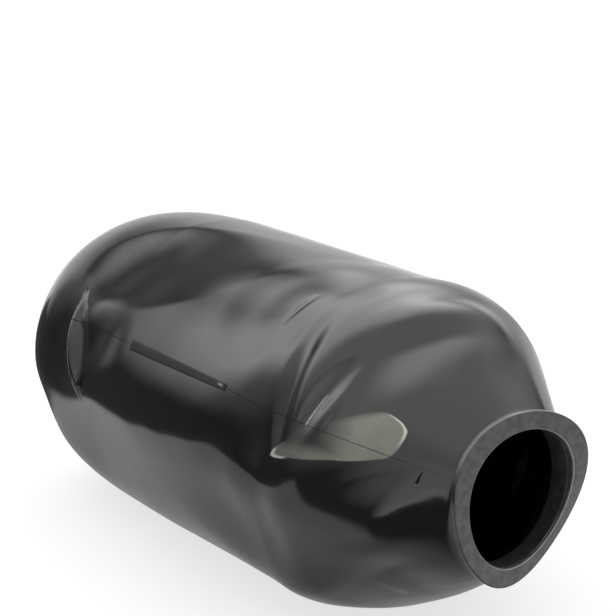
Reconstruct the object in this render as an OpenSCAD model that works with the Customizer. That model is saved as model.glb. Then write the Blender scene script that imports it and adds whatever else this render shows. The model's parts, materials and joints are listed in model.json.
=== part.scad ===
// Rubber bladder of a pressure tank, lying empty on its side.
// One moulded piece: a hollow body with a domed end, a conical shoulder and a flanged mouth.
// Millimetres. X runs out of the mouth, Z is up, and the origin is the centre of the mouth's bore.
// Angles round the body start at the -Y side and grow upwards: 0 is -Y, 90 is the top.
//
// Every fold has a place and a shape. The place is [distance behind the flange's face, angle].
// The shape is [half length, half width, depth, slant against the axis] on the unrolled skin.
// The skin sinks in by the depth, or stands out where the depth is below zero.

/* [Body] */
// Outer diameter where the domed end begins
rear_d = 208; // [180:1:230]
// Outer diameter where the shoulder begins
front_d = 222; // [190:1:240]
// Length of the straight part between the dome and the shoulder
body_len = 180; // [140:1:240]
// Length of the domed end
dome_len = 147; // [110:1:180]
// Fullness of the dome, where 2 is an ellipse and more is squarer
dome_full = 2.8; // [2:0.1:3.2]
// Thickness of the rubber
wall = 3; // [2:0.1:4]
// Height over width at the shoulder, where the empty body sags
front_height = 0.86; // [0.8:0.01:1]
// How far the body lies to the +Y side of the mouth's axis
lean = 3; // [0:0.5:6]

/* [Shoulder] */
// Length of the shoulder from the straight part to the neck
shoulder_len = 95; // [80:1:120]
// Radius of the rounded edge between the body and the shoulder
shoulder_edge_r = 47; // [30:1:55]
// Outer diameter where the shoulder meets the neck
neck_d = 93; // [90:0.5:100]

/* [Mouth] */
// Diameter of the bore that seats on the tank's flange
hole_d = 80; // [76:0.5:84]
// Length of the bore's straight wall
land_len = 10; // [8:0.5:12]
// Depth of the straight wall's middle behind the flange's face
land_depth = 12; // [11:0.5:16]
// Length of the neck from the shoulder to the flange's face
neck_len = 12; // [11:0.5:15]
// Outer diameter of the flange
flange_d = 96; // [95:0.5:110]
// Thickness of the flange
flange_t = 4; // [3.5:0.1:5]
// Rounding of the flange's outer edge
rim_r = 1; // [0.5:0.1:1.5]
// Depth of the groove between the shoulder and the flange
groove_depth = 3; // [1:0.1:4]
// How far the rounded lip reaches outwards from the hole
lip_r = 1; // [0.5:0.1:3]
// How far the rounded lip reaches into the hole
lip_len = 2; // [1:0.1:3]
// How far the flange bends out of its plane, as a saddle
warp = 5.4; // [0:0.1:6]
// Angle at which the flange bends forward most
warp_turn = 135; // [0:1:180]
// How far the top of the flange leans forward and its bottom backward
nod = 1.5; // [0:0.1:2]

/* [Lying flat] */
// Height of the mouth's axis over the surface that the bladder lies on
axis_height = 99; // [90:0.5:104]
// Height over which the flat spot below blends into the round
rest_blend = 3; // [1:0.5:6]

/* [Folds in the domed end] */
// Place of the crease that stands out of the dome
crease_at = [306, 13]; // [-180:1:360]
// Shape of the crease
crease = [42, 6, -9, 105]; // [-180:0.1:360]
// Place of the hollow behind the crease
far_hollow_at = [332, 14]; // [-180:1:360]
// Shape of the hollow behind the crease
far_hollow = [67, 56, 6.5, 108]; // [-180:0.1:360]
// Place of the hollow before the crease
near_hollow_at = [281, 21]; // [-180:1:360]
// Shape of the hollow before the crease
near_hollow = [46, 35, 3.5, 51]; // [-180:0.1:360]
// Place of the dish above the crease
dish_at = [297, 52]; // [-180:1:360]
// Shape of the dish
dish = [66, 36, 1.5, 59]; // [-180:0.1:360]
// Place of the long hollow that bounds the dish
dish_rim_at = [248, 62]; // [-180:1:360]
// Shape of the long hollow
dish_rim = [95, 43, 4.5, 21]; // [-180:0.1:360]

/* [Folds in the straight part] */
// Place of the fullness on top
top_at = [202, 63]; // [-180:1:360]
// Shape of the fullness on top
top = [140, 78, -6, 3]; // [-180:0.1:360]
// Place of the fullness of the flank
flank_at = [214, -9]; // [-180:1:360]
// Shape of the fullness of the flank
flank = [139, 80, -2.5, 57]; // [-180:0.1:360]
// Place of the ridge before the shoulder
ridge_at = [118, 62]; // [-180:1:360]
// Shape of the ridge
ridge = [40, 29, -2.5, 67]; // [-180:0.1:360]
// Place of the upper end of the ridge
ridge_end_at = [134, 75]; // [-180:1:360]
// Shape of the upper end of the ridge
ridge_end = [78, 40, -2.5, 76]; // [-180:0.1:360]

/* [Folds at the shoulder] */
// Place of the valley before the shoulder
valley_at = [97, 13]; // [-180:1:360]
// Shape of the valley
valley = [108, 31, 6, 93]; // [-180:0.1:360]
// Place of the broad hollow round the valley
hollow_at = [101, 15]; // [-180:1:360]
// Shape of the broad hollow
hollow = [87, 57, 6.5, 59]; // [-180:0.1:360]
// Place of the narrow fold in the valley
fold_at = [91, 36]; // [-180:1:360]
// Shape of the narrow fold
fold = [59, 10, 3, 98]; // [-180:0.1:360]
// Place of the full edge of the shoulder
edge_at = [66, 87]; // [-180:1:360]
// Shape of the full edge
edge_fold = [74, 19, -5.5, 83]; // [-180:0.1:360]
// Place of the hollow in the shoulder
face_at = [60, 56]; // [-180:1:360]
// Shape of the hollow in the shoulder
face = [75, 24, 3, 88]; // [-180:0.1:360]
// Place of the fullness on top of the shoulder
crown_at = [49, 99]; // [-180:1:360]
// Shape of the fullness on top of the shoulder
crown = [34, 72, -4, 26]; // [-180:0.1:360]
// Place of the fullness on the side of the shoulder
cheek_at = [27, -6]; // [-180:1:360]
// Shape of the fullness on the side
cheek = [114, 38, -6.5, 48]; // [-180:0.1:360]

/* [Folds in the underside] */
// Place of the low hollow behind the shoulder
front_low_at = [105, -21]; // [-180:1:360]
// Shape of the low hollow behind the shoulder
front_low = [89, 51, 9, -17]; // [-180:0.1:360]
// Place of the low hollow in the domed end
rear_low_at = [325, -16]; // [-180:1:360]
// Shape of the low hollow in the domed end
rear_low = [140, 47, 4.5, 3]; // [-180:0.1:360]
// Place of the hollow below the shoulder
under_at = [48, -54]; // [-180:1:360]
// Shape of the hollow below the shoulder
under = [140, 63, 8, 50]; // [-180:0.1:360]

/* [Raised bar] */
// Place of the bar's middle: distance behind the flange's face and angle
bar_at = [192, 26.5]; // [0:0.5:360]
// Length and width of the bar
bar_size = [112, 5]; // [2:1:140]
// Height of the bar over the skin
bar_height = 1.4; // [0.5:0.1:2]

/* [Hidden] */

rear_r = rear_d / 2;
front_r = front_d / 2;
mean_r = (rear_r + front_r) / 2;
neck_r = neck_d / 2;
hole_r = hole_d / 2;
flange_r = flange_d / 2;

// Stations along X
flange_face = land_depth;
flange_back = flange_face - flange_t;
shoulder_end = flange_face - neck_len;
straight_end = shoulder_end - shoulder_len;
straight_start = straight_end - body_len;
pole_x = straight_start - dome_len;
// The sag and the lean start to fade this far before the shoulder
fade_ahead = 21;

// Numbers of points along each stretch of the section
around = 56;
dome_rows = 13;
straight_rows = 17;
edge_rows = 6;
cone_rows = 4;
rim_rows = 2;
lip_rows = 2;
root_rows = 4;

// Columns stand closer together round this angle, where the folds are
busy_angle = 35;
crowding = 0.3;

// The land's cut stands this far into the rubber at its ends
land_over = 0.8;
// Share of the flange's bend that is left where the lip meets the land
lip_bend = 0.75;
// Distance from the land's inner end to where the wall has its plain thickness
root_len = 38;

// A fold's rim: smooth ones blend into the skin, firm and crisp ones show their edge
smooth = 3;
firm = 2;
crisp = 1.5;
folds = [
    [crease_at, crease, crisp],
    [far_hollow_at, far_hollow, smooth],
    [near_hollow_at, near_hollow, smooth],
    [dish_at, dish, smooth],
    [dish_rim_at, dish_rim, crisp],
    [top_at, top, smooth],
    [flank_at, flank, smooth],
    [ridge_at, ridge, smooth],
    [ridge_end_at, ridge_end, firm],
    [valley_at, valley, smooth],
    [hollow_at, hollow, smooth],
    [fold_at, fold, firm],
    [edge_at, edge_fold, smooth],
    [face_at, face, smooth],
    [crown_at, crown, smooth],
    [cheek_at, cheek, firm],
    [front_low_at, front_low, smooth],
    [rear_low_at, rear_low, smooth],
    [under_at, under, smooth]];

function mix(a, b, t) = a + (b - a) * t;
function clamp01(t) = max(0, min(1, t));
function ease(t) = let (c = clamp01(t)) c * c * (3 - 2 * c);
function wrapped(a) = a > 180 ? wrapped(a - 360) : a < -180 ? wrapped(a + 360) : a;
function column(i) =
    let (u = 360 * i / around) u - crowding * 180 / PI * sin(u - busy_angle);

// Distances on the unrolled skin from a place, turned by an angle: [along, across]
function unrolled(x, a, at, turn) =
    let (du = x - flange_face + at[0], dv = wrapped(a - at[1]) * PI / 180 * mean_r)
    [du * cos(turn) + dv * sin(turn), -du * sin(turn) + dv * cos(turn)];

// 1 at the middle of an oval and 0 from its rim outwards
function oval(p, size, edge) =
    pow(max(0, 1 - pow(p[0] / size[0], 2) - pow(p[1] / size[1], 2)), edge);

// Depth of all the folds at a place on the skin
function dents(x, a) =
    let (depths = [for (f = folds) f[1][2] * oval(unrolled(x, a, f[0], f[1][3]), f[1], f[2])])
    depths * [for (d = depths) 1];

// Stations of the outer skin, each [x, radius, slope of the normal towards +X]
dome = [for (i = [1 : dome_rows])
    let (u = 90 * pow(i / (dome_rows + 1), 0.9),
         back = pow(cos(u), 2 / dome_full),
         out = pow(sin(u), 2 / dome_full))
    [straight_start - dome_len * back, rear_r * out,
     -atan2(pow(back, dome_full - 1) * rear_r, pow(out, dome_full - 1) * dome_len)]];
straight = [for (i = [0 : straight_rows])
    [mix(straight_start, straight_end, i / straight_rows),
     mix(rear_r, front_r, i / straight_rows), 0]];

edge_mid = [straight_end, front_r - shoulder_edge_r];
to_neck = [shoulder_end - edge_mid[0], neck_r - edge_mid[1]];
edge_stop = atan2(to_neck[1], to_neck[0]) + acos(shoulder_edge_r / norm(to_neck));
edge = [for (i = [1 : edge_rows])
    let (u = mix(90, edge_stop, i / edge_rows))
    [edge_mid[0] + shoulder_edge_r * cos(u), edge_mid[1] + shoulder_edge_r * sin(u), 90 - u]];
cone_start = edge[edge_rows - 1];
cone = [for (i = [1 : cone_rows])
    let (t = i / cone_rows)
    [mix(cone_start[0], shoulder_end, t), mix(cone_start[1], neck_r, t), 90 - edge_stop]];
stations = concat(dome, straight, edge, cone);

// Share of the body's slackness at a station: 1 on the body and 0 at the neck
function loose(x) = 1 - ease((x - straight_end + fade_ahead) / (shoulder_len + fade_ahead));
// Height over width of the body's section
function tallness(x) =
    mix(1, mix(1, front_height, clamp01((x - straight_start) / body_len)), loose(x));
// Folds fade out towards the neck and the pole
function folding(x) = ease((shoulder_end - x) / 30) * ease((x - pole_x) / 40);
// Pulls what would reach below the resting surface up to it
function rested(z, floor_z) =
    z > floor_z + rest_blend ? z
    : z < floor_z - rest_blend ? floor_z
    : floor_z + pow(z - floor_z + rest_blend, 2) / (4 * rest_blend);

// A point of the skin at station s and angle a, a distance inside the outer face
function skin(s, a, inset) =
    let (deep = inset + dents(s[0], a) * folding(s[0]),
         r = s[1] - deep * cos(s[2]))
    [s[0] - deep * sin(s[2]),
     lean * loose(s[0]) - r * cos(a),
     rested(r * sin(a) * tallness(s[0]), inset - axis_height)];

// A point of the mouth, where bend is the share of the flange's warp and nod
function mouth(x, r, a, bend) =
    let (share = r / flange_r,
         bent = warp * pow(share, 3) * cos(2 * (a - warp_turn)) + nod * share * sin(a))
    [x + bend * bent, -r * cos(a), r * sin(a)];

// Rings of the mouth from the neck round the flange into the bore, each [x, radius, bend]
groove = [[mix(shoulder_end, flange_back, 0.5), neck_r - groove_depth, 0.3],
          [flange_back, neck_r - groove_depth + 0.8, 1]];
rim_back = [for (i = [0 : rim_rows])
    let (u = mix(-90, 0, i / rim_rows))
    [flange_back + rim_r + rim_r * sin(u), flange_r - rim_r + rim_r * cos(u), 1]];
rim_front = [for (i = [0 : rim_rows])
    let (u = mix(0, 90, i / rim_rows))
    [flange_face - rim_r + rim_r * sin(u), flange_r - rim_r + rim_r * cos(u), 1]];
lip = [for (i = [0 : lip_rows])
    let (u = 90 * i / lip_rows)
    [flange_face - lip_len + lip_len * cos(u), hole_r + lip_r + land_over - lip_r * sin(u),
     mix(1, lip_bend, i / lip_rows)]];
land = [[land_len / 2 + land_over, hole_r + land_over, 0],
        [land_len / 2 - land_over, hole_r - land_over, 0],
        [-land_len / 2 + land_over, hole_r - land_over, 0],
        [-land_len / 2 - land_over, hole_r + land_over, 0]];
mouth_rings = concat(groove, rim_back, rim_front, lip, land);

// The inner face thickens towards the land: the share of plain wall at station x
root_end = -land_len / 2 - root_len;
inner_stations = [for (i = [len(stations) - 1 : -1 : 0])
    if (stations[i][0] < root_end) stations[i]];
function root_ring(t) =
    let (s = inner_stations[0], x = s[0] - wall * sin(s[2]), r = s[1] - wall * cos(s[2]),
         x0 = -land_len / 2 - land_over, r0 = hole_r + land_over,
         bow = [mix(x0, x, 0.25), r0 + 1.5])
    [mix(mix(x0, bow[0], t), mix(bow[0], x, t), t), mix(mix(r0, bow[1], t), mix(bow[1], r, t), t)];
function root_point(t, a) =
    let (q = root_ring(t), x = q[0])
    [x, lean * loose(x) * t - q[1] * cos(a), q[1] * sin(a) * mix(1, tallness(x), t)];

rows = concat(
    [for (s = stations) [for (i = [0 : around - 1]) skin(s, column(i), 0)]],
    [for (m = mouth_rings) [for (i = [0 : around - 1]) mouth(m[0], m[1], column(i), m[2])]],
    [for (k = [1 : root_rows])
        [for (i = [0 : around - 1]) root_point(k / (root_rows + 1), column(i))]],
    [for (s = inner_stations) [for (i = [0 : around - 1]) skin(s, column(i), wall)]]);
last_row = (len(rows) - 1) * around;

// The whole skin, outside and inside, as one closed surface
module shell() {
    outer_pole = len(rows) * around;
    inner_pole = outer_pole + 1;
    polyhedron(
        points = concat([for (row = rows) for (p = row) p],
                        [[pole_x, lean, 0], [pole_x + wall, lean, 0]]),
        faces = concat(
            [for (i = [0 : around - 1]) [outer_pole, (i + 1) % around, i]],
            [for (k = [0 : len(rows) - 2]) for (i = [0 : around - 1])
                let (j = (i + 1) % around, lo = k * around, hi = lo + around)
                each [[lo + i, hi + j, hi + i], [lo + i, lo + j, hi + j]]],
            [for (i = [0 : around - 1]) [inner_pole, last_row + i, last_row + (i + 1) % around]]));
}

// The plain raised bar moulded on the flank, along the mould's parting plane
bar_rows = 12;
module bar() {
    half_angle = bar_size[1] / 2 / mean_r * 180 / PI;
    corners = [[-half_angle, wall / 2], [half_angle, wall / 2],
               [half_angle * 0.7, -bar_height], [-half_angle * 0.7, -bar_height]];
    points = [for (k = [0 : bar_rows]) for (c = corners)
        let (x = flange_face - bar_at[0] + bar_size[0] * (k / bar_rows - 0.5),
             s = [x, mix(rear_r, front_r, (x - straight_start) / body_len), 0])
        skin(s, bar_at[1] + c[0], c[1])];
    top_end = bar_rows * 4;
    polyhedron(points = points, faces = concat(
        [[0, 1, 2, 3]],
        [for (k = [0 : bar_rows - 1]) for (i = [0 : 3])
            let (j = (i + 1) % 4, lo = k * 4, hi = lo + 4)
            each [[lo + i, hi + i, hi + j], [lo + i, hi + j, lo + j]]],
        [[top_end + 3, top_end + 2, top_end + 1, top_end]]));
}

// The straight wall that seats on the tank's flange
module bore() {
    rotate([0, 90, 0]) cylinder(r = hole_r, h = land_len + 4 * land_over, center = true, $fn = 96);
}

module bladder() {
    color([0.05, 0.05, 0.05]) difference() {
        union() {
            shell();
            bar();
        }
        bore();
    }
}

bladder();
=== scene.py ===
"""Rubber bladder of a pressure tank, lying empty on its side under soft studio light."""

import json
import math

import bmesh
import bpy
import numpy as np
from bpy.props import FloatProperty, FloatVectorProperty, IntProperty, PointerProperty
from mathutils import Matrix, Vector


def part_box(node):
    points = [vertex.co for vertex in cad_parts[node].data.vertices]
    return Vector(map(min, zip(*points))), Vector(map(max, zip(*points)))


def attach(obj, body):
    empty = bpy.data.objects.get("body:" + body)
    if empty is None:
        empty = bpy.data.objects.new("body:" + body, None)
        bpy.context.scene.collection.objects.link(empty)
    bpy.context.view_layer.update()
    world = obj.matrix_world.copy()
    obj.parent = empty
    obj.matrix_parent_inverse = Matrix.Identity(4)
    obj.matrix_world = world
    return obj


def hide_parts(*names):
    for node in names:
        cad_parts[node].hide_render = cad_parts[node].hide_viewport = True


bl_info = {
    "name": "Pressure Tank Bladder",
    "version": (1, 0, 0),
    "blender": (4, 5, 0),
    "location": "View3D > Sidebar > Bladder",
    "description": "Models a moulded rubber tank bladder lying slack on a white floor",
    "category": "Add Mesh",
}

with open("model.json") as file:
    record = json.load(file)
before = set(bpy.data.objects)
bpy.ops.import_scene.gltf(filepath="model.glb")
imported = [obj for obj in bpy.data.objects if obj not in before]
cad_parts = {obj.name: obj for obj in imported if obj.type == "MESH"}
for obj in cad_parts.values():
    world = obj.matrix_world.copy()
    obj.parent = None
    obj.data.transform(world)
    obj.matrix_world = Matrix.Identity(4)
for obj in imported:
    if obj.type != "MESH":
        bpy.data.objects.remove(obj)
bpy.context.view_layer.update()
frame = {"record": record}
low_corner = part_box("bladder")[0]
mouth_mount = frame["record"]["mounts"][0]

MM = 0.001


class BladderSizes(bpy.types.PropertyGroup):
    """Sizes of the moulded form, before it sags and folds"""

    rear_r: FloatProperty(
        name="Rear radius", description="Outer radius where the domed end begins",
        default=104.0 * MM, unit="LENGTH", precision=5)
    front_r: FloatProperty(
        name="Front radius", description="Outer radius where the shoulder begins",
        default=111.0 * MM, unit="LENGTH", precision=5)
    body_len: FloatProperty(
        name="Straight length", description="Length between the dome and the shoulder",
        default=180.0 * MM, unit="LENGTH", precision=5)
    dome_full: FloatProperty(
        name="Dome fullness", description="An ellipse at 2 and squarer above it",
        default=2.8, min=2.0, max=3.2)
    wall: FloatProperty(
        name="Wall", description="Thickness of the rubber",
        default=3.0 * MM, unit="LENGTH", precision=5)
    front_height: FloatProperty(
        name="Sag at the shoulder", description="Height over width where the shoulder begins",
        default=0.86, min=0.8, max=1.0)
    lean: FloatProperty(
        name="Lean", description="How far the body lies to the +Y side of the mouth's axis",
        default=3.0 * MM, unit="LENGTH", precision=5)
    shoulder_len: FloatProperty(
        name="Shoulder length", description="Length from the straight part to the neck",
        default=95.0 * MM, unit="LENGTH", precision=5)
    shoulder_edge_r: FloatProperty(
        name="Shoulder edge radius", description="Rounding between the body and the shoulder",
        default=47.0 * MM, unit="LENGTH", precision=5)
    neck_r: FloatProperty(
        name="Neck radius", description="Outer radius where the shoulder meets the neck",
        default=46.5 * MM, unit="LENGTH", precision=5)
    land_len: FloatProperty(
        name="Bore length", description="Length of the bore's straight wall",
        default=10.0 * MM, unit="LENGTH", precision=5)
    land_depth: FloatProperty(
        name="Bore depth", description="Depth of the straight wall's middle behind the face",
        default=12.0 * MM, unit="LENGTH", precision=5)
    neck_len: FloatProperty(
        name="Neck length", description="Length from the shoulder to the flange's face",
        default=12.0 * MM, unit="LENGTH", precision=5)
    flange_r: FloatProperty(
        name="Flange radius", description="Outer radius of the flange",
        default=48.0 * MM, unit="LENGTH", precision=5)
    flange_t: FloatProperty(
        name="Flange thickness", description="Thickness of the flange",
        default=4.0 * MM, unit="LENGTH", precision=5)
    rim_r: FloatProperty(
        name="Flange edge radius", description="Rounding of the flange's outer edge",
        default=1.0 * MM, unit="LENGTH", precision=5)
    groove_depth: FloatProperty(
        name="Groove depth", description="Depth of the groove behind the flange",
        default=3.0 * MM, unit="LENGTH", precision=5)
    lip_r: FloatProperty(
        name="Lip reach", description="How far the rounded lip reaches outwards from its edge",
        default=1.2 * MM, unit="LENGTH", precision=5)
    lip_inset: FloatProperty(
        name="Lip inset", description="How far the lip's edge stands inside the bore's wall",
        default=2.4 * MM, unit="LENGTH", precision=5)
    bead: FloatProperty(
        name="Bead", description="How far the low bead in the mouth stands out",
        default=0.9 * MM, unit="LENGTH", precision=5)
    lip_len: FloatProperty(
        name="Lip length", description="How far the rounded lip reaches into the hole",
        default=2.0 * MM, unit="LENGTH", precision=5)
    root_len: FloatProperty(
        name="Root length", description="Length over which the neck's wall thins inwards",
        default=38.0 * MM, unit="LENGTH", precision=5)
    warp: FloatProperty(
        name="Flange warp", description="How far the flange bends out of its plane",
        default=5.4 * MM, unit="LENGTH", precision=5)
    warp_turn: FloatProperty(
        name="Warp angle", description="Angle at which the flange bends forward most",
        default=math.radians(135.0), subtype="ANGLE")
    nod: FloatProperty(
        name="Flange nod", description="How far the top of the flange leans forward",
        default=1.5 * MM, unit="LENGTH", precision=5)
    rest_blend: FloatProperty(
        name="Rest blend", description="Height over which the flat spot blends into the round",
        default=3.0 * MM, unit="LENGTH", precision=5)


PLACE = "Distance behind the flange's face in mm and angle in degrees"
OVAL = "Half length, half width and depth in mm, and slant in degrees"
# Exponents of a fold's edge: the higher, the softer it runs out.
SMOOTH = 3.0
FIRM = 2.0
CRISP = 1.5


def fold_place(name, default):
    return FloatVectorProperty(name=name + " place", description=PLACE, size=2, default=default)


def fold_oval(name, default):
    return FloatVectorProperty(name=name, description=OVAL, size=4, default=default)


class FoldSizes(bpy.types.PropertyGroup):
    """Ovals in which the slack skin sinks in, or stands out where the depth is negative"""

    crease_at: fold_place("Crease in the dome", (309, 17))
    crease: fold_oval("Crease in the dome", (42, 5.5, -8.5, 108))
    far_hollow_at: fold_place("Hollow behind the crease", (332, 14))
    far_hollow: fold_oval("Hollow behind the crease", (67, 56, 6.5, 108))
    near_hollow_at: fold_place("Hollow before the crease", (281, 21))
    near_hollow: fold_oval("Hollow before the crease", (46, 35, 3.5, 51))
    dish_at: fold_place("Dish above the crease", (297, 52))
    dish: fold_oval("Dish above the crease", (66, 36, 1.5, 59))
    dish_rim_at: fold_place("Hollow that bounds the dish", (248, 62))
    dish_rim: fold_oval("Hollow that bounds the dish", (95, 43, 4.5, 21))
    top_at: fold_place("Fullness on top", (202, 63))
    top: fold_oval("Fullness on top", (140, 78, -6, 3))
    flank_at: fold_place("Fullness of the flank", (214, -9))
    flank: fold_oval("Fullness of the flank", (139, 80, -2.5, 57))
    ridge_at: fold_place("Ridge before the shoulder", (118, 62))
    ridge: fold_oval("Ridge before the shoulder", (40, 29, -2.5, 67))
    ridge_end_at: fold_place("Upper end of the ridge", (134, 75))
    ridge_end: fold_oval("Upper end of the ridge", (78, 40, -2.5, 76))
    valley_at: fold_place("Valley before the shoulder", (97, 13))
    valley: fold_oval("Valley before the shoulder", (108, 31, 6, 93))
    hollow_at: fold_place("Broad hollow round the valley", (101, 15))
    hollow: fold_oval("Broad hollow round the valley", (87, 57, 6.5, 59))
    fold_at: fold_place("Narrow fold in the valley", (91, 36))
    fold: fold_oval("Narrow fold in the valley", (59, 10, 3, 98))
    edge_at: fold_place("Full edge of the shoulder", (66, 87))
    edge: fold_oval("Full edge of the shoulder", (74, 19, -5.5, 83))
    face_at: fold_place("Hollow in the shoulder", (60, 56))
    face: fold_oval("Hollow in the shoulder", (75, 24, 3, 88))
    crown_at: fold_place("Fullness on top of the shoulder", (49, 99))
    crown: fold_oval("Fullness on top of the shoulder", (34, 72, -4, 26))
    cheek_at: fold_place("Fullness beside the shoulder", (27, -6))
    cheek: fold_oval("Fullness beside the shoulder", (114, 38, -6.5, 48))
    front_low_at: fold_place("Low hollow behind the shoulder", (105, -21))
    front_low: fold_oval("Low hollow behind the shoulder", (89, 51, 9, -17))
    rear_low_at: fold_place("Low hollow in the dome", (325, -16))
    rear_low: fold_oval("Low hollow in the dome", (140, 47, 4.5, 3))
    groove_at: fold_place("Groove at the shoulder", (72.5, 36))
    groove: fold_oval("Groove at the shoulder", (42, 6.5, 3.2, 83))
    glint_at: fold_place("Fine ridge beside the groove", (67, 32))
    glint: fold_oval("Fine ridge beside the groove", (28, 4, -0.8, 81))
    pleat_at: fold_place("Fine crease on the ridge", (119, 60))
    pleat: fold_oval("Fine crease on the ridge", (15, 2.5, 0.8, 82))
    under_at: fold_place("Hollow below the shoulder", (48, -54))
    under: fold_oval("Hollow below the shoulder", (140, 63, 6, 50))


FOLDS = (("crease", CRISP), ("far_hollow", SMOOTH), ("near_hollow", SMOOTH), ("dish", SMOOTH),
         ("dish_rim", CRISP), ("top", SMOOTH), ("flank", SMOOTH), ("ridge", SMOOTH),
         ("ridge_end", FIRM), ("valley", SMOOTH), ("hollow", SMOOTH), ("fold", FIRM),
         ("edge", SMOOTH), ("face", SMOOTH), ("crown", SMOOTH), ("cheek", FIRM),
         ("front_low", SMOOTH), ("rear_low", SMOOTH), ("under", SMOOTH),
         ("groove", FIRM), ("glint", FIRM), ("pleat", CRISP))


ENDS = "Distance behind the flange's face in mm and angle in degrees, of both ends"
STRIP = "Width of both ends and height in mm"


class DetailSizes(bpy.types.PropertyGroup):
    """Fine moulded details, strips of painted highlight and the fineness of the mesh"""

    columns: IntProperty(
        name="Columns", description="Mesh columns round the body", default=282)
    outer_rows: IntProperty(
        name="Outer rows", description="Mesh rows along the outer skin", default=270)
    inner_rows: IntProperty(
        name="Inner rows", description="Mesh rows along the inner skin", default=26)
    # Where the mouth's bead gets a painted highlight: a lighter colour on one side stands for a
    # reflected streak.
    bead_highlight_angle: FloatProperty(
        name="Worn angle", description="Angle in degrees where the mouth's bead is worn",
        default=-133.0)
    ripple: FloatProperty(
        name="Ripple", description="Height of the faint unevenness of the skin",
        default=0.12 * MM, unit="LENGTH", precision=5)
    bar_at: FloatVectorProperty(
        name="Raised bar", description=ENDS, size=4, default=(240.0, 26.0, 134.5, 27.4))
    bar_size: FloatVectorProperty(
        name="Raised bar size", description=STRIP, size=3, default=(7.5, 4.8, 1.4))
    # Painted highlight: a pale strip at the bar's end.
    bar_end_highlight_at: FloatVectorProperty(
        name="Rubbed end of the bar", description=ENDS, size=4, default=(141.5, 27.7, 135.4, 27.5))
    bar_end_highlight_size: FloatVectorProperty(
        name="Rubbed end size", description=STRIP, size=3, default=(2.0, 3.4, 1.6))
    seam_at: FloatVectorProperty(
        name="Parting line", description=ENDS, size=4, default=(352.0, 25.0, 12.5, 22.8))
    seam_size: FloatVectorProperty(
        name="Parting line size", description=STRIP, size=3, default=(1.0, 1.0, 0.12))
    nick_at: FloatVectorProperty(
        name="Nick", description=ENDS, size=4, default=(23.2, 14.5, 22.0, 21.5))
    nick_size: FloatVectorProperty(
        name="Nick size", description=STRIP, size=3, default=(2.0, 0.6, 0.25))
    # Painted highlight: a pale strip along the shoulder's fine ridge.
    ridge_highlight_at: FloatVectorProperty(
        name="Rubbed ridge", description=ENDS, size=4, default=(74.0, 24.5, 70.8, 37.5))
    ridge_highlight_size: FloatVectorProperty(
        name="Rubbed ridge size", description=STRIP, size=3, default=(1.6, 1.2, 0.12))
    # Painted highlight: a pale strip along the crest of the dome's crease.
    crease_highlight_at: FloatVectorProperty(
        name="Rubbed crease", description=ENDS, size=4, default=(316.0, 28.5, 302.0, 5.5))
    crease_highlight_size: FloatVectorProperty(
        name="Rubbed crease size", description=STRIP, size=3, default=(0.8, 1.1, 0.1))


class Finishes(bpy.types.PropertyGroup):
    """Colours and gloss of the rubber"""

    rubber: FloatVectorProperty(
        name="Rubber", description="Colour of the black rubber",
        subtype="COLOR", size=3, default=(0.006, 0.006, 0.0065))
    dusty: FloatVectorProperty(
        name="Dusty rubber", description="Colour of the flange's matte face",
        subtype="COLOR", size=3, default=(0.085, 0.085, 0.085))
    bar: FloatVectorProperty(
        name="Bar", description="Colour of the raised bar",
        subtype="COLOR", size=3, default=(0.035, 0.035, 0.035))
    # This colour is real wear on the lip's edge, and painted highlight on the mouth's bead, the
    # bar's end and the crease.
    worn_and_highlit: FloatVectorProperty(
        name="Worn edge", description="Colour of scuffed rubber on the lip, bar and crease",
        subtype="COLOR", size=3, default=(0.35, 0.35, 0.35))
    film: FloatVectorProperty(
        name="Film", description="Colour of the dull dried film on the shoulder",
        subtype="COLOR", size=3, default=(0.2, 0.205, 0.17))
    # This colour is the film's edge, painted as highlights at two of its corners, and the painted
    # highlight on the shoulder's ridge.
    film_rim_highlight: FloatVectorProperty(
        name="Film rim", description="Colour of the film's thick edge and of the rubbed ridge",
        subtype="COLOR", size=3, default=(0.55, 0.55, 0.5))
    gloss: FloatProperty(
        name="Roughness", description="Roughness of the rubber", default=0.14)
    coat: FloatProperty(
        name="Sheen roughness", description="Roughness of the polished surface", default=0.07)
    matte: FloatProperty(
        name="Matte roughness", description="Roughness of the bar and the flange", default=0.55)


class StudioSizes(bpy.types.PropertyGroup):
    """Camera, floor and the light of the room"""

    camera_at: FloatVectorProperty(
        name="Camera place", description="Camera position",
        size=3, default=(0.4592, -0.4818, 0.2654), subtype="XYZ", unit="LENGTH")
    camera_turn: FloatVectorProperty(
        name="Camera aim", description="Heading, height and roll of the view in degrees",
        size=3, default=(37.343, 14.153, 0.103))
    lens: FloatProperty(name="Lens", description="Focal length in mm", default=78.1)
    sheet_x: FloatVectorProperty(
        name="Sheet reach", description="Where the pale floor starts and ends along X",
        size=2, default=(-0.52, 0.02), unit="LENGTH")
    sheet_glow: FloatProperty(
        name="Sheet brightness", description="Brightness of the floor in the gloss", default=0.6)
    dark: FloatProperty(
        name="Low dark", description="Brightness below the light", default=0.06)
    low: FloatProperty(
        name="Low light", description="Brightness just over the horizon", default=0.28)
    room: FloatProperty(
        name="Room light", description="Brightness of the room's upper half", default=1.12)
    softbox: FloatProperty(
        name="Softbox", description="Brightness added by the large light overhead", default=1.5)
    front: FloatProperty(
        name="Front light", description="Brightness that the mouth's face looks at", default=1.0)
    rear_dark: FloatProperty(
        name="Rear dark", description="Share of light missing behind the domed end", default=0.95)
    backdrop: FloatProperty(
        name="Backdrop", description="Brightness of the backdrop behind the body", default=0.7)


def settings():
    """The add-on's settings on the scene."""
    scene = bpy.context.scene
    return (scene.bladder_sizes, scene.bladder_folds, scene.bladder_details,
            scene.bladder_finishes, scene.bladder_studio)


def mix(a, b, t):
    return a + (b - a) * t


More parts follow.
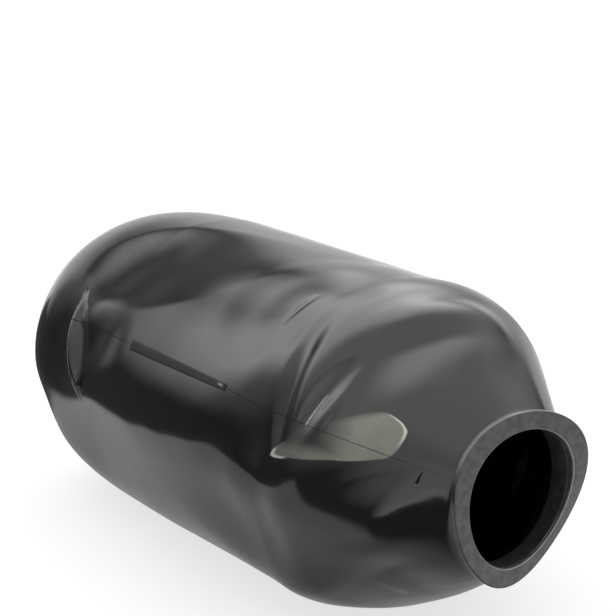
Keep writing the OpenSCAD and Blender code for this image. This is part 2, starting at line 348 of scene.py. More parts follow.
def ease(t):
    c = np.clip(t, 0.0, 1.0)
    return c * c * (3.0 - 2.0 * c)


# Lengths over which slackness and folds fade out.
FADE_AHEAD = 21 * MM
NECK_FADE = 30 * MM
POLE_FADE = 40 * MM


class Form:
    """The plain form's stations along X, worked out from the sizes, in metres."""

    def __init__(self, s):
        self.s = s
        self.hole_r = mouth_mount["dims"]["r_mm"] * MM
        self.face = s.land_depth
        self.flange_back = self.face - s.flange_t
        self.shoulder_end = self.face - s.neck_len
        self.straight_end = self.shoulder_end - s.shoulder_len
        self.straight_start = self.straight_end - s.body_len
        self.pole = low_corner.x
        self.floor_z = low_corner.z
        self.mean_r = (s.rear_r + s.front_r) / 2
        self.fade_ahead = FADE_AHEAD
        self.line = plain_skin(self)

    def loose(self, x):
        """Share of the body's slackness: 1 on the body and 0 at the neck."""
        reach = self.s.shoulder_len + self.fade_ahead
        return 1 - ease((x - self.straight_end + self.fade_ahead) / reach)

    def tallness(self, x):
        """Height over width of the body's section."""
        along = np.clip((x - self.straight_start) / self.s.body_len, 0, 1)
        return mix(1, mix(1, self.s.front_height, along), self.loose(x))

    def folding(self, x):
        """Folds fade out towards the neck and the pole."""
        return ease((self.shoulder_end - x) / NECK_FADE) * ease((x - self.pole) / POLE_FADE)

    def rested(self, z, floor_z):
        """Pulls what would reach below the resting surface up to it."""
        blend = self.s.rest_blend
        soft = floor_z + np.square(z - floor_z + blend) / (4 * blend)
        return np.where(z > floor_z + blend, z, np.where(z < floor_z - blend, floor_z, soft))

    def skin_at(self, behind, angle, rise, folds):
        """Points over the outer skin at distances behind the face and angles, lifted by rise."""
        x = self.face - behind
        row = {"x": x, "r": np.interp(x, self.line[:, 0], self.line[:, 1]),
               "slope": np.interp(x, self.line[:, 0], self.line[:, 2]),
               "inset": -rise, "follow": 1.0, "dented": 1.0, "bend": 0.0}
        return place(self, folds, row, angle)


def unrolled(form, x, angle, at, turn):
    """Millimetres on the unrolled skin from a place, turned by an angle: along and across."""
    along = (x - form.face) / MM + at[0]
    swing = (angle - math.radians(at[1]) + math.pi) % (2 * math.pi) - math.pi
    across = swing * form.mean_r / MM
    c, s = math.cos(math.radians(turn)), math.sin(math.radians(turn))
    return along * c + across * s, across * c - along * s


def oval(p, size, edge):
    """1 at the middle of an oval and 0 from its rim outwards."""
    inside = 1 - np.square(p[0] / size[0]) - np.square(p[1] / size[1])
    return np.power(np.maximum(inside, 0), edge)


def dents(form, folds, x, angle):
    """Depth of all the folds at a place on the skin, in metres."""
    depth = 0
    for name, edge in FOLDS:
        length, width, deep, turn = getattr(folds, name)
        p = unrolled(form, x, angle, getattr(folds, name + "_at"), turn)
        depth = depth + deep * oval(p, (length, width), edge)
    return depth * MM


def plain_skin(form):
    """The outer skin's line from pole to neck: x, radius and the normal's slope."""
    s = form.s
    u = np.linspace(0.0, math.pi / 2, 200)
    back = np.power(np.cos(u).clip(0), 2 / s.dome_full)
    out = np.power(np.sin(u), 2 / s.dome_full)
    length = form.straight_start - form.pole
    lean_x = np.power(back, s.dome_full - 1) / length
    lean_r = np.power(out, s.dome_full - 1) / s.rear_r
    dome = np.stack([form.straight_start - length * back, s.rear_r * out,
                     -np.arctan2(lean_x, lean_r)], 1)
    t = np.linspace(0, 1, 120)[1:]
    straight = np.stack([mix(form.straight_start, form.straight_end, t),
                         mix(s.rear_r, s.front_r, t), 0 * t], 1)
    middle = np.array([form.straight_end, s.front_r - s.shoulder_edge_r])
    to_neck = np.array([form.shoulder_end, s.neck_r]) - middle
    stop = math.atan2(to_neck[1], to_neck[0])
    stop += math.acos(s.shoulder_edge_r / np.linalg.norm(to_neck))
    turn = mix(math.pi / 2, stop, t)
    edge = np.stack([middle[0] + s.shoulder_edge_r * np.cos(turn),
                     middle[1] + s.shoulder_edge_r * np.sin(turn), math.pi / 2 - turn], 1)
    cone = np.stack([mix(edge[-1, 0], form.shoulder_end, t),
                     mix(edge[-1, 1], s.neck_r, t), 0 * t + math.pi / 2 - stop], 1)
    return np.concatenate([dome, straight, edge, cone])


BUSY_ROWS = 0.9


def resample(line, count, busy=()):
    """The same line with rows closer together round the busy places, given as x and reach."""
    steps = np.linalg.norm(np.diff(line[:, :2], axis=0), axis=1)
    middle = (line[1:, 0] + line[:-1, 0]) / 2
    for x, reach in busy:
        steps = steps * (1 + BUSY_ROWS * np.exp(-np.square((middle - x) / reach)))
    along = np.concatenate([[0], np.cumsum(steps)])
    wanted = np.linspace(0, along[-1], count)
    return np.stack([np.interp(wanted, along, line[:, k]) for k in range(line.shape[1])], 1)


# Shares of the flange's warp at the lip, and shares of the flange's dullness along the section.
LIP_BEND = 0.75
GROOVE_MATTE = 0.2
SIDE_MATTE = 0.4
FACE_EDGE_MATTE = 0.25
WORN_MATTE = 1.4
THROAT_MATTE = 0.85
BEAD_MATTE = 0.5
BORE_MATTE = 0.7
ROOT_MATTE = 0.3
# The bead's middle and reach, as shares of the throat's length.
BEAD_PLACE = 0.8
BEAD_REACH = 0.12
ROW_FIELDS = ("x", "r", "slope", "inset", "follow", "dented", "bend", "matte")


def rows_of_profile(form, details):
    """Every row of the section from the outer pole round the mouth to the inner pole."""
    s = form.s
    shoulder_folds = (form.face - 85 * MM, 45 * MM)
    dome_crease = (form.face - 305 * MM, 25 * MM)
    busy = (shoulder_folds, dome_crease)
    rows = [(x, r, n, 0, 1, 1, 0, 0)
            for x, r, n in resample(form.line, details.outer_rows, busy)]
    groove_steps = 10
    back_step = 0.8 * MM
    back_from = s.neck_r - s.groove_depth + back_step
    for i in range(1, groove_steps):
        t = i / groove_steps
        rows.append((mix(form.shoulder_end, form.flange_back, t),
                     mix(s.neck_r, back_from, t) - s.groove_depth / 2 * math.sin(math.pi * t),
                     0, 0, 0, 0, t * t, GROOVE_MATTE * t))
    for t in (0.0, 0.5):
        rows.append((form.flange_back, mix(back_from, s.flange_r - s.rim_r, t),
                     0, 0, 0, 0, 1, GROOVE_MATTE))
    rim_steps = 5
    rim_middle = s.flange_r - s.rim_r
    for side, start, low, high in ((form.flange_back + s.rim_r, -90, SIDE_MATTE, SIDE_MATTE),
                                   (form.face - s.rim_r, 0, FACE_EDGE_MATTE, 1)):
        for i in range(rim_steps + 1):
            u = math.radians(start + 90 * i / rim_steps)
            rows.append((side + s.rim_r * math.sin(u), rim_middle + s.rim_r * math.cos(u),
                         0, 0, 0, 0, 1, mix(low, high, i / rim_steps)))
    lip_edge = form.hole_r - s.lip_inset
    lip_middle = lip_edge + s.lip_r
    face_steps = 5
    for i in range(1, face_steps):
        rows.append((form.face, mix(rim_middle, lip_middle, i / face_steps),
                     0, 0, 0, 0, 1, 1))
    lip_steps = 8
    worn_rows = (2, 3, 4)
    for i in range(lip_steps + 1):
        u = math.radians(90 * i / lip_steps)
        rows.append((form.face - s.lip_len + s.lip_len * math.cos(u),
                     lip_middle - s.lip_r * math.sin(u), 0, 0, 0, 0,
                     mix(1, LIP_BEND, i / lip_steps), WORN_MATTE if i in worn_rows else 1))
    land_front = s.land_len / 2
    throat_steps = 14
    inset_share = 0.4
    for i in range(1, throat_steps + 1):
        t = i / throat_steps
        bead = math.exp(-((t - BEAD_PLACE) / BEAD_REACH) ** 2)
        rows.append((mix(form.face - s.lip_len, land_front, t),
                     mix(lip_edge, form.hole_r, ease(t / inset_share)) - s.bead * bead,
                     0, 0, 0, 0, mix(LIP_BEND, 0, t), mix(THROAT_MATTE, BEAD_MATTE, bead)))
    root_r = form.hole_r + 1 * MM
    rows.append((-land_front, form.hole_r, 0, 0, 0, 0, 0, BORE_MATTE))
    rows.append((-land_front - 1 * MM, root_r, 0, 0, 0, 0, 0, ROOT_MATTE))
    inner = [(x, r, n) for x, r, n in resample(form.line, details.inner_rows)[::-1]
             if x < -land_front - s.root_len]
    last_x = inner[0][0] - s.wall * math.sin(inner[0][2])
    last_r = inner[0][1] - s.wall * math.cos(inner[0][2])
    bow_share = 0.25
    bow = (mix(-land_front, last_x, bow_share), form.hole_r + 2.5 * MM)
    root_steps = 10
    for i in range(1, root_steps):
        t = i / root_steps
        rows.append((mix(mix(-land_front, bow[0], t), mix(bow[0], last_x, t), t),
                     mix(mix(root_r, bow[1], t), mix(bow[1], last_r, t), t),
                     0, 0, t, 0, 0, ROOT_MATTE * (1 - t)))
    rows += [(x, r, n, s.wall, 1, 1, 0, 0) for x, r, n in inner]
    rows[-1] = (form.pole + s.wall, 0, -math.pi / 2, 0, 1, 0, 0, 0)
    rows[0] = (form.pole, 0, -math.pi / 2, 0, 1, 0, 0, 0)
    return {name: np.array([row[k] for row in rows]) for k, name in enumerate(ROW_FIELDS)}


def place(form, folds, row, angle):
    """Points of the finished surface for profile rows at angles round the axis."""
    s = form.s
    dent = dents(form, folds, row["x"], angle) * form.folding(row["x"]) * row["dented"]
    deep = row["inset"] + dent
    r = row["r"] - deep * np.cos(row["slope"])
    share = row["r"] / s.flange_r
    bend = s.warp * share ** 3 * np.cos(2 * (angle - s.warp_turn)) + s.nod * share * np.sin(angle)
    x = row["x"] - deep * np.sin(row["slope"]) + row["bend"] * bend
    tall = mix(1, form.tallness(row["x"]), row["follow"])
    y = s.lean * form.loose(row["x"]) * row["follow"] - r * np.cos(angle)
    z = form.rested(r * np.sin(angle) * tall, form.floor_z + row["inset"])
    return np.stack([x, y, z], -1)


def crowded(angle, busy=math.radians(35), crowding=0.5):
    """Draws the mesh columns together round the side where the folds are."""
    return angle - crowding * np.sin(angle - busy)


# The dried film's corners: mm behind the flange's face and degrees, going round.
FILM_CORNERS = ((95, 10.0), (52, 15.5), (34.5, 21.5), (32.5, 39.0), (45, 42.0))
FILM_SOFTNESS = 3.0
NO_FILM = -99
# Angular reach and strength of the painted highlight on the mouth's bead.
BEAD_HIGHLIGHT_REACH = math.radians(25)
BEAD_HIGHLIGHT_GAIN = 4


def film_depth(form, x, angle):
    """Millimetres inside the dried film's edge."""
    behind = (form.face - x) / MM
    across = angle * form.mean_r / MM
    corners = [(a, math.radians(b) * form.mean_r / MM) for a, b in FILM_CORNERS]
    outside = 0
    for (a0, b0), (a1, b1) in zip(corners, corners[1:] + corners[:1]):
        length = math.hypot(a1 - a0, b1 - b0)
        gap = ((behind - a0) * (b1 - b0) - (across - b0) * (a1 - a0)) / length
        outside = outside + np.exp(np.clip(-gap / FILM_SOFTNESS, -30, 30))
    return -FILM_SOFTNESS * np.log(outside)


def finished(name, bm, material):
    """A mesh object at the origin that rides on the body and takes the rubber's slot."""
    mesh = bpy.data.meshes.new(name)
    bm.to_mesh(mesh)
    bm.free()
    mesh.polygons.foreach_set("use_smooth", [True] * len(mesh.polygons))
    mesh.materials.append(material)
    piece = bpy.data.objects.new(name, mesh)
    bpy.context.scene.collection.objects.link(piece)
    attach(piece, "root")
    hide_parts("bladder")


def skin_mesh(form, folds, details):
    """Spins the section round X, then lets it sag, fold and rest on the floor."""
    rows = rows_of_profile(form, details)
    bm = bmesh.new()
    row_layer = bm.verts.layers.int.new("row")
    film_layer = bm.verts.layers.float.new("film")
    matte_layer = bm.verts.layers.float.new("matte")
    chain = []
    for i, (x, r) in enumerate(zip(rows["x"], rows["r"])):
        vert = bm.verts.new((x, -r, 0))
        vert[row_layer] = i
        chain.append(vert)
    edges = [bm.edges.new(pair) for pair in zip(chain, chain[1:])]
    bmesh.ops.spin(bm, geom=chain + edges, cent=(0, 0, 0), axis=(-1, 0, 0), dvec=(0, 0, 0),
                   angle=2 * math.pi, steps=details.columns, use_merge=True,
                   use_duplicate=False)
    poles = [v for v in bm.verts if math.hypot(v.co.y, v.co.z) < 1e-9]
    bmesh.ops.remove_doubles(bm, verts=poles, dist=1e-6)
    bm.verts.ensure_lookup_table()
    at = np.array([v.co for v in bm.verts])
    index = np.array([v[row_layer] for v in bm.verts])
    angle = crowded(np.arctan2(at[:, 2], -at[:, 1]))
    angle = (angle + math.pi) % (2 * math.pi) - math.pi
    row = {name: rows[name][index] for name in ROW_FIELDS}
    row["inset"] = row["inset"] + details.ripple * row["dented"] * ripples(row["x"], angle)
    points = place(form, folds, row, angle)
    outer = (row["follow"] == 1) & (row["inset"] < 1 * MM)
    film = np.where(outer, film_depth(form, row["x"], angle), NO_FILM)
    # Painted highlight: the bead is lightened on one side, more where it is glossy.
    on_bead = (row["follow"] == 0) & (row["bend"] < LIP_BEND) & (row["r"] < form.hole_r)
    bead_highlight_side = np.exp(-np.square((angle - math.radians(details.bead_highlight_angle)) / BEAD_HIGHLIGHT_REACH))
    shine = (THROAT_MATTE - row["matte"]).clip(0)
    row["matte"] = row["matte"] + on_bead * BEAD_HIGHLIGHT_GAIN * shine * bead_highlight_side
    for vert, point, f, m in zip(bm.verts, points, film, row["matte"]):
        vert.co = point
        vert[film_layer] = f
        vert[matte_layer] = m
    bmesh.ops.recalc_face_normals(bm, faces=bm.faces)
    return bm


def ripples(x, angle):
    """Faint unevenness of a moulded skin, between -1 and 1: a fine and a coarse weave of waves."""
    fine = np.sin(x / (9 * MM) + 3 * np.sin(5 * angle)) * np.sin(11 * angle + x / (31 * MM))
    coarse = np.sin(x / (17 * MM) - 2 * np.sin(3 * angle) + 1) * np.sin(7 * angle - x / (23 * MM))
    return (fine + coarse) / 2


# How deep a strip's edge sinks into the skin, and how far from its ends it rises, in mm.
STRIP_ROOT = 0.3
STRIP_RISE = 1.2


def strip_mesh(form, folds, first, last, widths, height, lengthwise):
    """A low rounded strip on the skin between two places, each a distance and an angle."""
    bm = bmesh.new()
    bmesh.ops.create_grid(bm, x_segments=lengthwise, y_segments=8, size=0.5)
    at = np.array([v.co for v in bm.verts])
    along, side = at[:, 0] + 0.5, at[:, 1] * 2
    per_degree = math.radians(form.mean_r / MM)
    run = np.array([last[0] - first[0], (last[1] - first[1]) * per_degree])
    length = np.linalg.norm(run)
    aside = side * mix(widths[0], widths[1], along) / 2
    behind = first[0] + along * run[0] - aside * run[1] / length
    across = first[1] * per_degree + along * run[1] + aside * run[0] / length
    to_end = np.minimum(along, 1 - along) * length
    flat = ease((1 - np.abs(side)) * widths[0]) * ease(to_end / STRIP_RISE)
    rise = mix(-STRIP_ROOT, height, flat) * MM
    points = form.skin_at(behind * MM, across * MM / form.mean_r, rise, folds)
    for vert, point in zip(bm.verts, points):
        vert.co = point
    bmesh.ops.recalc_face_normals(bm, faces=bm.faces)
    middle = min(bm.faces, key=lambda f: abs(f.calc_center_median().x - points[:, 0].mean()))
    outward = middle.calc_center_median()
    outward.x = 0
    if middle.normal.dot(outward) < 0:
        bmesh.ops.reverse_faces(bm, faces=bm.faces)
    return bm


class Shading:
    """Short ways to add shader nodes to one material or world and link them."""

    def __init__(self, owner):
        owner.use_nodes = True
        self.nodes, self.links = owner.node_tree.nodes, owner.node_tree.links

    def put(self, socket, value):
        if hasattr(value, "is_linked"):
            self.links.new(value, socket)
        else:
            socket.default_value = value

    def add(self, kind, **inputs):
        node = self.nodes.new(kind)
        for name, value in inputs.items():
            self.put(node.inputs[name.replace("_", " ")], value)
        return node

    def math(self, operation, *values):
        node = self.nodes.new("ShaderNodeMath")
        node.operation = operation
        for socket, value in zip(node.inputs, values):
            self.put(socket, value)
        return node.outputs[0]

    def ramp(self, value, low, high, start=0.0, stop=1.0):
        node = self.nodes.new("ShaderNodeMapRange")
        node.interpolation_type = "SMOOTHSTEP"
        for socket, number in zip(node.inputs, (value, low, high, start, stop)):
            self.put(socket, number)
        return node.outputs[0]

    def noise(self, vector, scale, detail=3.0):
        return self.add("ShaderNodeTexNoise", Vector=vector, Scale=scale, Detail=detail).outputs[0]

    def dot(self, vector, direction):
        node = self.nodes.new("ShaderNodeVectorMath")
        node.operation = "DOT_PRODUCT"
        self.put(node.inputs[0], vector)
        self.put(node.inputs[1], direction)
        return node.outputs["Value"]

    def off_heading(self, vector, degrees):
        """Degrees between a vector and a heading, seen from above."""
        a = math.radians(degrees)
        ahead = self.dot(vector, (math.cos(a), math.sin(a), 0))
        aside = self.dot(vector, (-math.sin(a), math.cos(a), 0))
        return self.math("DEGREES", self.math("ABSOLUTE", self.math("ARCTAN2", aside, ahead)))

    def blend(self, share, first, second):
        """A mix of two shaders."""
        node = self.nodes.new("ShaderNodeMixShader")
        for socket, value in zip(node.inputs, (share, first, second)):
            self.put(socket, value)
        return node.outputs[0]

    def tint(self, share, first, second):
        """A mix of two colours."""
        node = self.nodes.new("ShaderNodeMix")
        node.data_type = "RGBA"
        self.put(node.inputs["Factor"], share)
        self.put(node.inputs["A"], first)
        self.put(node.inputs["B"], second)
        return node.outputs["Result"]

    def attribute(self, name):
        node = self.nodes.new("ShaderNodeAttribute")
        node.attribute_name = name
        return node.outputs["Fac"]


# Scales of the noise in the materials.
SMUDGE_SCALE = 60.0
DUST_SCALE = 220.0
BAR_GRAIN = 700.0
SKIN_GRAIN = 900.0
# The film's edge wanders by this many mm; its broad lobe ends at a sloping line, in metres.
FILM_WOBBLE = 3.0
LOBE_SLOPE = 0.3
LOBE_TOP = 0.057


def skin_material(finishes):
    """Polished black rubber with a dull dried film on the shoulder and a matte flange; painted
    highlights lighten two corners of the film's edge and one side of the mouth's bead.
    """
    material = bpy.data.materials.new("black_rubber")
    sh = Shading(material)
    shader = sh.nodes["Principled BSDF"]
    place_on = sh.add("ShaderNodeTexCoord").outputs["Object"]
    matte = sh.ramp(sh.attribute("matte"), 0.1, 0.9)
    # Matte above 1 gives the lighter colour: real wear on the lip's edge and a painted highlight on
    # the mouth's bead.
    worn_and_highlit = sh.ramp(sh.attribute("matte"), 1.0, 1.6)
    smudge = sh.noise(place_on, SMUDGE_SCALE)
    grain = sh.noise(place_on, SKIN_GRAIN)
    wobble = sh.math("MULTIPLY", sh.math("SUBTRACT", smudge, 0.5), FILM_WOBBLE)
    depth = sh.math("ADD", sh.attribute("film"), wobble)
    x = sh.dot(place_on, (1, 0, 0))
    z = sh.dot(place_on, (0, 0, 1))
    below_lobe = sh.math("ADD", sh.dot(place_on, (LOBE_SLOPE, 0, -1)), LOBE_TOP)
    lobe = sh.math("MULTIPLY", sh.ramp(below_lobe, -0.002, 0.003), sh.ramp(x, -0.058, -0.041))
    fade = sh.math("MAXIMUM", lobe, sh.ramp(z, 0.022, 0.030, 1.0, 0.0))
    film = sh.math("MULTIPLY", sh.ramp(depth, 0.0, 1.2), fade)
    # Painted highlights: the film's edge is lightened only at its upper and rear corners.
    rim = sh.math("MULTIPLY", sh.ramp(depth, -0.2, 0.4), sh.ramp(depth, 0.5, 1.8, 1.0, 0.0))
    upper_corner = sh.math("MULTIPLY", sh.ramp(x, -0.034, -0.027), sh.ramp(z, 0.028, 0.038))
    rear_corner = sh.math("MULTIPLY", sh.ramp(x, -0.074, -0.068, 0.7, 0.0),
                          sh.ramp(z, 0.020, 0.023, 1.0, 0.0))
    rim = sh.math("MULTIPLY", rim, sh.math("MAXIMUM", upper_corner, rear_corner))
    clearer = sh.ramp(x, -0.085, -0.035, 0.35, 1.0)
    streaked = sh.math("MULTIPLY", clearer, sh.ramp(smudge, 0.3, 0.7, 0.8, 1.0))
    tint = sh.math("MULTIPLY", film, streaked)
    dust = sh.math("MULTIPLY", matte, sh.ramp(sh.noise(place_on, DUST_SCALE), 0.35, 0.65, 0.6, 1.0))
    bare = sh.tint(dust, (*finishes.rubber, 1), (*finishes.dusty, 1))
    bare = sh.tint(worn_and_highlit, bare, (*finishes.worn_and_highlit, 1))
    colour = sh.tint(tint, bare, (*finishes.film, 1))
    colour = sh.tint(rim, colour, (*finishes.film_rim_highlight, 1))
    sh.put(shader.inputs["Base Color"], colour)
    dull = sh.math("MAXIMUM", matte, sh.math("MULTIPLY", film, 0.8))
    uneven = sh.math("ADD", finishes.gloss, sh.math("MULTIPLY", smudge, 0.05))
    rough = sh.math("ADD", uneven, sh.math("MULTIPLY", dull, finishes.matte - finishes.gloss))
    sh.put(shader.inputs["Roughness"], rough)
    sh.put(shader.inputs["Coat Weight"], sh.ramp(dull, 0.0, 1.0, 1.0, 0.2))
    shader.inputs["Coat Roughness"].default_value = finishes.coat
    bump = sh.add("ShaderNodeBump", Strength=0.25, Distance=0.00008, Height=grain)
    sh.put(shader.inputs["Normal"], bump.outputs[0])
    return material


def matte_material(name, finishes, colour, specular):
    """Dull rubber for a moulded mark, and pale for a strip of painted highlight."""
    material = bpy.data.materials.new(name)
    sh = Shading(material)
    shader = sh.nodes["Principled BSDF"]
    place_on = sh.add("ShaderNodeTexCoord").outputs["Object"]
    grain = sh.noise(place_on, BAR_GRAIN)
    sh.put(shader.inputs["Base Color"], sh.tint(grain, (*finishes.rubber, 1), (*colour, 1)))
    sh.put(shader.inputs["Roughness"],
           sh.math("ADD", finishes.matte - 0.08, sh.math("MULTIPLY", grain, 0.16)))
    shader.inputs["Specular IOR Level"].default_value = specular
    bump = sh.add("ShaderNodeBump", Strength=0.5, Distance=0.0002, Height=grain)
    sh.put(shader.inputs["Normal"], bump.outputs[0])
    return material


class BLADDER_OT_skin(bpy.types.Operator):
    """Model the moulded skin with its folds, shoulder and flanged mouth"""

    bl_idname = "bladder.skin"
    bl_label = "Skin"

    def execute(self, context):
        sizes, folds, details, finishes, _ = settings()
        bm = skin_mesh(Form(sizes), folds, details)
        finished("bladder_skin", bm, skin_material(finishes))
        return {"FINISHED"}


class BLADDER_OT_marks(bpy.types.Operator):
    """Model the raised bar, the parting lines, the small nick and strips of painted highlight on
    the ridge, the bar's end and the crease
    """

    bl_idname = "bladder.marks"
    bl_label = "Moulded marks"

    def execute(self, context):
        sizes, folds, details, finishes, _ = settings()
        form = Form(sizes)
        dull = matte_material("dull_rubber", finishes, finishes.bar, 0.35)
        black = matte_material("black_line", finishes, finishes.rubber, 0.1)
        # The next two materials paint highlights as pale strips.
        highlighted = matte_material("painted_highlight", finishes, finishes.film_rim_highlight, 0.6)
        scuffed_and_highlit = matte_material("painted_grey_highlight", finishes, finishes.worn_and_highlit, 0.6)
        bar = details.bar_at
        seam = details.seam_at
        seam_steps, bar_steps, crest_steps, short_steps = 400, 200, 80, 24
        far_seam = (seam[0], seam[1] + 180, seam[2], seam[3] + 180)
        for name, ends, size, material, steps in (
                ("raised_bar", bar, details.bar_size, dull, bar_steps),
                ("bar_end_highlight", details.bar_end_highlight_at, details.bar_end_highlight_size, scuffed_and_highlit, short_steps),
                ("seam_front", (*bar[2:], *seam[2:]), details.seam_size, black, seam_steps),
                ("seam_rear", (*seam[:2], *bar[:2]), details.seam_size, black, seam_steps),
                ("seam_far_side", far_seam, details.seam_size, black, seam_steps),
                ("nick", details.nick_at, details.nick_size, black, short_steps),
                ("painted_ridge_highlight", details.ridge_highlight_at, details.ridge_highlight_size, highlighted, short_steps),
                ("painted_crease_highlight", details.crease_highlight_at, details.crease_highlight_size, scuffed_and_highlit, crest_steps)):
            strip = strip_mesh(form, folds, ends[:2], ends[2:], size[:2], size[2], steps)
            finished(name, strip, material)
        return {"FINISHED"}


# Headings of parts of the light in degrees from +X towards +Y, and the large light's height.
FRONT_HEADING = 10
BACKDROP_HEADING = 152
REAR_HEADING = 173
SOFTBOX_HEADING = 176
SOFTBOX_HEIGHT = 52


def floor_material(studio):
    """White floor; the gloss of the rubber shows it as a pale sheet with dark beyond."""
    material = bpy.data.materials.new("white_floor")
    sh = Shading(material)
    sh.nodes.clear()
    output = sh.nodes.new("ShaderNodeOutputMaterial")
    place_on = sh.add("ShaderNodeTexCoord").outputs["Object"]
    paint = sh.add("ShaderNodeBsdfDiffuse", Color=(0.85, 0.85, 0.85, 1)).outputs[0]
    white = sh.add("ShaderNodeEmission", Strength=1.2).outputs[0]
    seen = sh.blend(0.6, paint, white)
    x = sh.dot(place_on, (1, 0, 0))
    y = sh.dot(place_on, (0, 1, 0))
    soft = 0.025
    first, last = studio.sheet_x
    sheet = sh.math("MULTIPLY", sh.ramp(x, first - soft, first + soft),
                    sh.ramp(x, last - soft, last + soft, 1.0, 0.0))
    # Painted shadow: the floor's reflection darkens near the body, where the body's shade falls.
    shade = sh.ramp(y, -0.18, -0.06, 1.0, 0.4)
    glow = studio.sheet_glow - studio.dark
    sheet = sh.math("MULTIPLY", sh.math("MULTIPLY", sheet, shade), glow)
    sheet = sh.math("ADD", studio.dark, sheet)
    behind = sh.math("MULTIPLY", sh.ramp(y, 0.02, 0.25), studio.backdrop)
    shoulder_side = sh.ramp(sh.dot(place_on, (0.8, 0.6, 0)), -0.1, 0.1, 1.0, 0.6)
    behind = sh.math("MULTIPLY", behind, shoulder_side)
    near = sh.math("MULTIPLY", sh.ramp(x, -0.02, 0.04), sh.ramp(y, 0.04, 0.10))
    far = sh.math("MULTIPLY", sh.ramp(sh.off_heading(place_on, FRONT_HEADING), 60, 85, 1.0, 0.0),
                  sh.ramp(sh.dot(place_on, place_on), 0.3, 1.0))
    ahead = sh.math("MAXIMUM", near, far)
    behind = sh.math("MAXIMUM", behind, sh.math("MULTIPLY", ahead, studio.front))
    mirrored = sh.add("ShaderNodeEmission", Strength=sh.math("MAXIMUM", sheet, behind)).outputs[0]
    path = sh.nodes.new("ShaderNodeLightPath")
    shown = sh.blend(path.outputs["Is Camera Ray"], paint, seen)
    shown = sh.blend(path.outputs["Is Glossy Ray"], shown, mirrored)
    sh.put(output.inputs["Surface"], shown)
    return material


def studio_world(studio):
    """A soft room: dark low down, a broad light overhead, a pale backdrop behind the body."""
    world = bpy.data.worlds.new("studio")
    bpy.context.scene.world = world
    sh = Shading(world)
    sh.nodes.clear()
    output = sh.nodes.new("ShaderNodeOutputWorld")
    towards = sh.add("ShaderNodeTexCoord").outputs["Generated"]
    up = sh.math("DEGREES", sh.math("ARCSINE", sh.dot(towards, (0, 0, 1))))
    light = sh.ramp(up, 2, 12, studio.dark, studio.low)
    light = sh.math("ADD", light, sh.ramp(up, 2, 46, 0.0, studio.room - studio.low))
    height, side = math.radians(SOFTBOX_HEIGHT), math.radians(SOFTBOX_HEADING)
    softbox = (math.cos(side) * math.cos(height), math.sin(side) * math.cos(height),
               math.sin(height))
    off = sh.math("DEGREES", sh.math("ARCCOSINE", sh.dot(towards, softbox)))
    light = sh.math("ADD", light, sh.ramp(off, 29, 60, studio.softbox, 0.0))
    rear = sh.math("MULTIPLY", sh.ramp(sh.off_heading(towards, REAR_HEADING), 20, 40, 1.0, 0.0),
                   sh.ramp(up, 26, 56, 1.0, 0.0))
    kept = sh.math("SUBTRACT", 1.0, sh.math("MULTIPLY", rear, studio.rear_dark))
    light = sh.math("MULTIPLY", light, kept)
    drop = sh.math("MULTIPLY", sh.ramp(sh.off_heading(towards, BACKDROP_HEADING), 28, 52, 1.0, 0.0),
                   sh.ramp(up, 10, 30, 1.0, 0.0))
    light = sh.math("MULTIPLY", light, sh.math("SUBTRACT", 1.0, drop))
    light = sh.math("ADD", light, sh.math("MULTIPLY", drop, studio.backdrop))
    front = sh.ramp(sh.off_heading(towards, FRONT_HEADING), 60, 85, studio.front, 0.0)
    front = sh.math("MULTIPLY", front, sh.ramp(up, 20, 40, 1.0, 0.0))
    light = sh.math("MAXIMUM", light, front)
    room = sh.add("ShaderNodeBackground", Strength=light).outputs[0]
    white = sh.add("ShaderNodeBackground", Color=(1, 1, 1, 1)).outputs[0]
    path = sh.nodes.new("ShaderNodeLightPath")
    sh.put(output.inputs["Surface"], sh.blend(path.outputs["Is Camera Ray"], room, white))


FLOOR_HALF = 20
SENSOR_WIDTH = 36


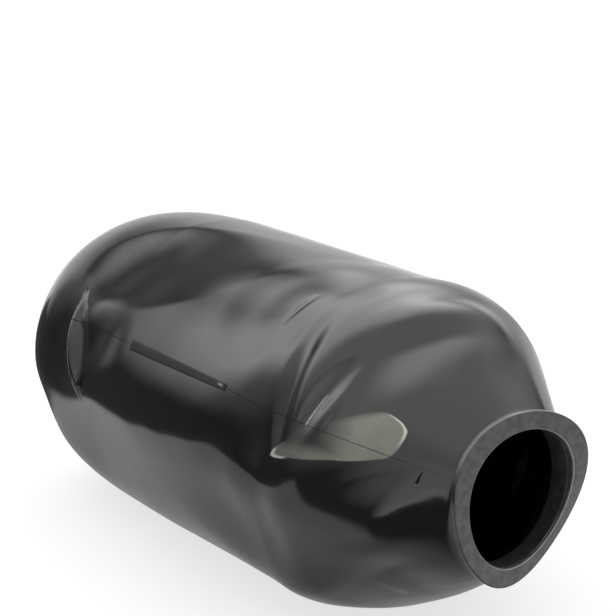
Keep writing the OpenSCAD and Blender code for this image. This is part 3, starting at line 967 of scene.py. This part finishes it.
class BLADDER_OT_stage(bpy.types.Operator):
    """Set the white floor, the soft light and the camera"""

    bl_idname = "bladder.stage"
    bl_label = "Stage"

    def execute(self, context):
        sizes, _, _, _, studio = settings()
        form = Form(sizes)
        bm = bmesh.new()
        bmesh.ops.create_grid(bm, x_segments=1, y_segments=1, size=FLOOR_HALF,
                              matrix=Matrix.Translation((0, 0, form.floor_z)))
        mesh = bpy.data.meshes.new("floor")
        bm.to_mesh(mesh)
        bm.free()
        mesh.materials.append(floor_material(studio))
        floor = bpy.data.objects.new("floor", mesh)
        context.scene.collection.objects.link(floor)
        studio_world(studio)
        camera_data = bpy.data.cameras.new("camera")
        camera_data.lens = studio.lens
        camera_data.sensor_width = SENSOR_WIDTH
        camera_data.clip_start = 0.01
        camera = bpy.data.objects.new("camera", camera_data)
        context.scene.collection.objects.link(camera)
        heading, height, roll = (math.radians(a) for a in studio.camera_turn)
        back = Vector((math.cos(heading) * math.cos(height),
                       -math.sin(heading) * math.cos(height), math.sin(height)))
        camera.rotation_mode = "QUATERNION"
        turn = (-back).to_track_quat("-Z", "Y")
        camera.rotation_quaternion = turn @ Matrix.Rotation(roll, 3, "Z").to_quaternion()
        camera.location = studio.camera_at
        context.scene.camera = camera
        context.scene.view_settings.view_transform = "Standard"
        return {"FINISHED"}


class BLADDER_PT_panel(bpy.types.Panel):
    """Lists the bladder's pieces in the sidebar"""

    bl_idname = "BLADDER_PT_panel"
    bl_label = "Bladder"
    bl_space_type = "VIEW_3D"
    bl_region_type = "UI"
    bl_category = "Bladder"

    def draw(self, context):
        for operator in OPERATORS:
            self.layout.operator(operator.bl_idname)


OPERATORS = (BLADDER_OT_skin, BLADDER_OT_marks, BLADDER_OT_stage)
GROUPS = {"bladder_sizes": BladderSizes, "bladder_folds": FoldSizes,
          "bladder_details": DetailSizes, "bladder_finishes": Finishes,
          "bladder_studio": StudioSizes}


def register():
    for cls in (*GROUPS.values(), *OPERATORS, BLADDER_PT_panel):
        bpy.utils.register_class(cls)
    for name, group in GROUPS.items():
        setattr(bpy.types.Scene, name, PointerProperty(type=group))


def unregister():
    for name in GROUPS:
        delattr(bpy.types.Scene, name)
    for cls in (BLADDER_PT_panel, *reversed(OPERATORS), *reversed(GROUPS.values())):
        bpy.utils.unregister_class(cls)


def main():
    register()
    bpy.ops.bladder.skin()
    bpy.ops.bladder.marks()
    bpy.ops.bladder.stage()


if __name__ == "__main__":
    main()
